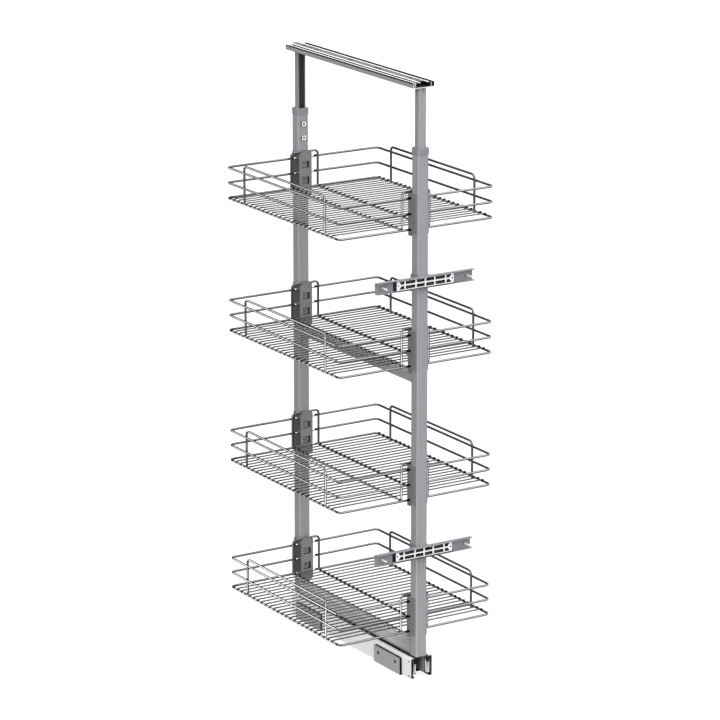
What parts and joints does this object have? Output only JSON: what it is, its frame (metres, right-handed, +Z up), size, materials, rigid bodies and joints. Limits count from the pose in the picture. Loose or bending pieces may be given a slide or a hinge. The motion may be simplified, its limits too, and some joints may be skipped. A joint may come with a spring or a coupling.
{
  "type": "pull out larder unit",
  "caption": "Telescopic frame on floor and ceiling ball slides, with wire baskets on height-adjustable clips and brackets for a tall cabinet's door.",
  "frame": {"origin": "on the cabinet floor under the middle of the unit: midway between the two columns", "axes": "+Z up; -Y is the front, the way the unit pulls out; X across the cabinet; the rest pose is pushed fully in"},
  "size_m": [0.391, 0.5504, 1.314],
  "materials": {
    "black_plastic": "matt",
    "bright_screw": "bright plated",
    "chrome_wire": "polished",
    "dark_screw": "dark plated",
    "dark_sheet": "grey coated",
    "die_cast": "bright",
    "door_channel_sheet": "grey coated",
    "grey_plastic": "satin",
    "mid_grey_sheet": "grey coated",
    "silver_paint": "silver grey, satin",
    "silver_plastic": "satin",
    "zinc_sheet": "bright zinc plated"
  },
  "bodies": {
    "cabinet_side": {"outer_slide_left": "zinc_sheet", "outer_slide_right": "zinc_sheet", "front_base_bracket": "mid_grey_sheet", "rear_base_bracket": "mid_grey_sheet", "base_bracket_screws": "dark_screw", "slide_bumpers": "black_plastic"},
    "lower_outer_cage": {"outer_ball_cages": "zinc_sheet"},
    "lower_middle_slides": {"middle_slide_left": "zinc_sheet", "middle_slide_right": "zinc_sheet"},
    "lower_inner_cage": {"inner_ball_cages": "zinc_sheet"},
    "frame": {"inner_slide_left": "zinc_sheet", "inner_slide_right": "zinc_sheet", "inner_slide_stops": "black_plastic", "slide_carrier": "dark_sheet", "slide_carrier_screws": "bright_screw", "bottom_beam": "silver_paint", "front_column": "silver_paint", "rear_column": "silver_paint", "cross_bar": "silver_paint", "guide_collars": "silver_plastic", "height_clamps": "bright_screw", "door_bracket_clamps": "dark_sheet", "door_bracket_bolts": "dark_screw", "door_bracket_inserts": "die_cast"},
    "upper_frame": {"front_upper_channel": "silver_paint", "rear_upper_channel": "silver_paint", "top_frame_rail": "silver_paint", "top_rail_rivets": "bright_screw"},
    "top_outer_cage": {"top_outer_cages": "black_plastic"},
    "top_middle": {"top_middle_rail": "zinc_sheet"},
    "top_inner_cage": {"top_inner_cages": "black_plastic"},
    "top_cabinet": {"top_cabinet_rail": "zinc_sheet"},
    "upper_door_plate": {"upper_door_channel": "door_channel_sheet", "upper_door_screws": "bright_screw"},
    "lower_door_plate": {"lower_door_channel": "door_channel_sheet", "lower_door_screws": "bright_screw"},
    "basket_1": {"basket_1_rims": "chrome_wire", "basket_1_floor": "chrome_wire", "basket_1_cradle": "chrome_wire", "basket_1_front_clip": "grey_plastic", "basket_1_rear_clip": "grey_plastic", "basket_1_screws": "dark_screw"},
    "basket_2": {"basket_2_rims": "chrome_wire", "basket_2_floor": "chrome_wire", "basket_2_cradle": "chrome_wire", "basket_2_front_clip": "grey_plastic", "basket_2_rear_clip": "grey_plastic", "basket_2_screws": "dark_screw"},
    "basket_3": {"basket_3_rims": "chrome_wire", "basket_3_floor": "chrome_wire", "basket_3_cradle": "chrome_wire", "basket_3_front_clip": "grey_plastic", "basket_3_rear_clip": "grey_plastic", "basket_3_screws": "dark_screw"},
    "basket_4": {"basket_4_rims": "chrome_wire", "basket_4_floor": "chrome_wire", "basket_4_cradle": "chrome_wire", "basket_4_front_clip": "grey_plastic", "basket_4_rear_clip": "grey_plastic", "basket_4_screws": "dark_screw"}
  },
  "joints": [
    {"name": "pull_out", "type": "slide", "parent": "cabinet_side", "child": "frame", "axis": [0, -1, 0], "range_m": [0, 0.48]},
    {"name": "lower_outer_cage_travel", "type": "slide", "parent": "cabinet_side", "child": "lower_outer_cage", "axis": [0, -1, 0], "range_m": [0, 0.12]},
    {"name": "lower_middle_travel", "type": "slide", "parent": "cabinet_side", "child": "lower_middle_slides", "axis": [0, -1, 0], "range_m": [0, 0.24]},
    {"name": "lower_inner_cage_travel", "type": "slide", "parent": "cabinet_side", "child": "lower_inner_cage", "axis": [0, -1, 0], "range_m": [0, 0.36]},
    {"name": "height_setting", "type": "slide", "parent": "frame", "child": "upper_frame", "axis": [0, 0, 1], "range_m": [-0.115, 0.15]},
    {"name": "top_outer_cage_travel", "type": "slide", "parent": "upper_frame", "child": "top_outer_cage", "axis": [0, 1, 0], "range_m": [0, 0.12]},
    {"name": "top_middle_travel", "type": "slide", "parent": "upper_frame", "child": "top_middle", "axis": [0, 1, 0], "range_m": [0, 0.24]},
    {"name": "top_inner_cage_travel", "type": "slide", "parent": "upper_frame", "child": "top_inner_cage", "axis": [0, 1, 0], "range_m": [0, 0.36]},
    {"name": "top_cabinet_travel", "type": "slide", "parent": "upper_frame", "child": "top_cabinet", "axis": [0, 1, 0], "range_m": [0, 0.48]},
    {"name": "basket_1_height", "type": "slide", "parent": "frame", "child": "basket_1", "axis": [0, 0, 1], "range_m": [-0.05, 0.015]},
    {"name": "basket_2_height", "type": "slide", "parent": "frame", "child": "basket_2", "axis": [0, 0, 1], "range_m": [0, 0.08]},
    {"name": "basket_3_height", "type": "slide", "parent": "frame", "child": "basket_3", "axis": [0, 0, 1], "range_m": [-0.05, 0.08]},
    {"name": "basket_4_height", "type": "slide", "parent": "frame", "child": "basket_4", "axis": [0, 0, 1], "range_m": [0, 0.08]},
    {"name": "upper_door_shift", "type": "slide", "parent": "frame", "child": "upper_door_plate", "axis": [1, 0, 0], "range_m": [-0.01, 0.01]},
    {"name": "lower_door_shift", "type": "slide", "parent": "frame", "child": "lower_door_plate", "axis": [1, 0, 0], "range_m": [-0.01, 0.01]}
  ],
  "couplings": [
    {"joint": "lower_outer_cage_travel", "follows": "pull_out", "ratio": 0.25},
    {"joint": "lower_middle_travel", "follows": "pull_out", "ratio": 0.5},
    {"joint": "lower_inner_cage_travel", "follows": "pull_out", "ratio": 0.75},
    {"joint": "top_outer_cage_travel", "follows": "pull_out", "ratio": 0.25},
    {"joint": "top_middle_travel", "follows": "pull_out", "ratio": 0.5},
    {"joint": "top_inner_cage_travel", "follows": "pull_out", "ratio": 0.75},
    {"joint": "top_cabinet_travel", "follows": "pull_out", "ratio": 1}
  ]
}
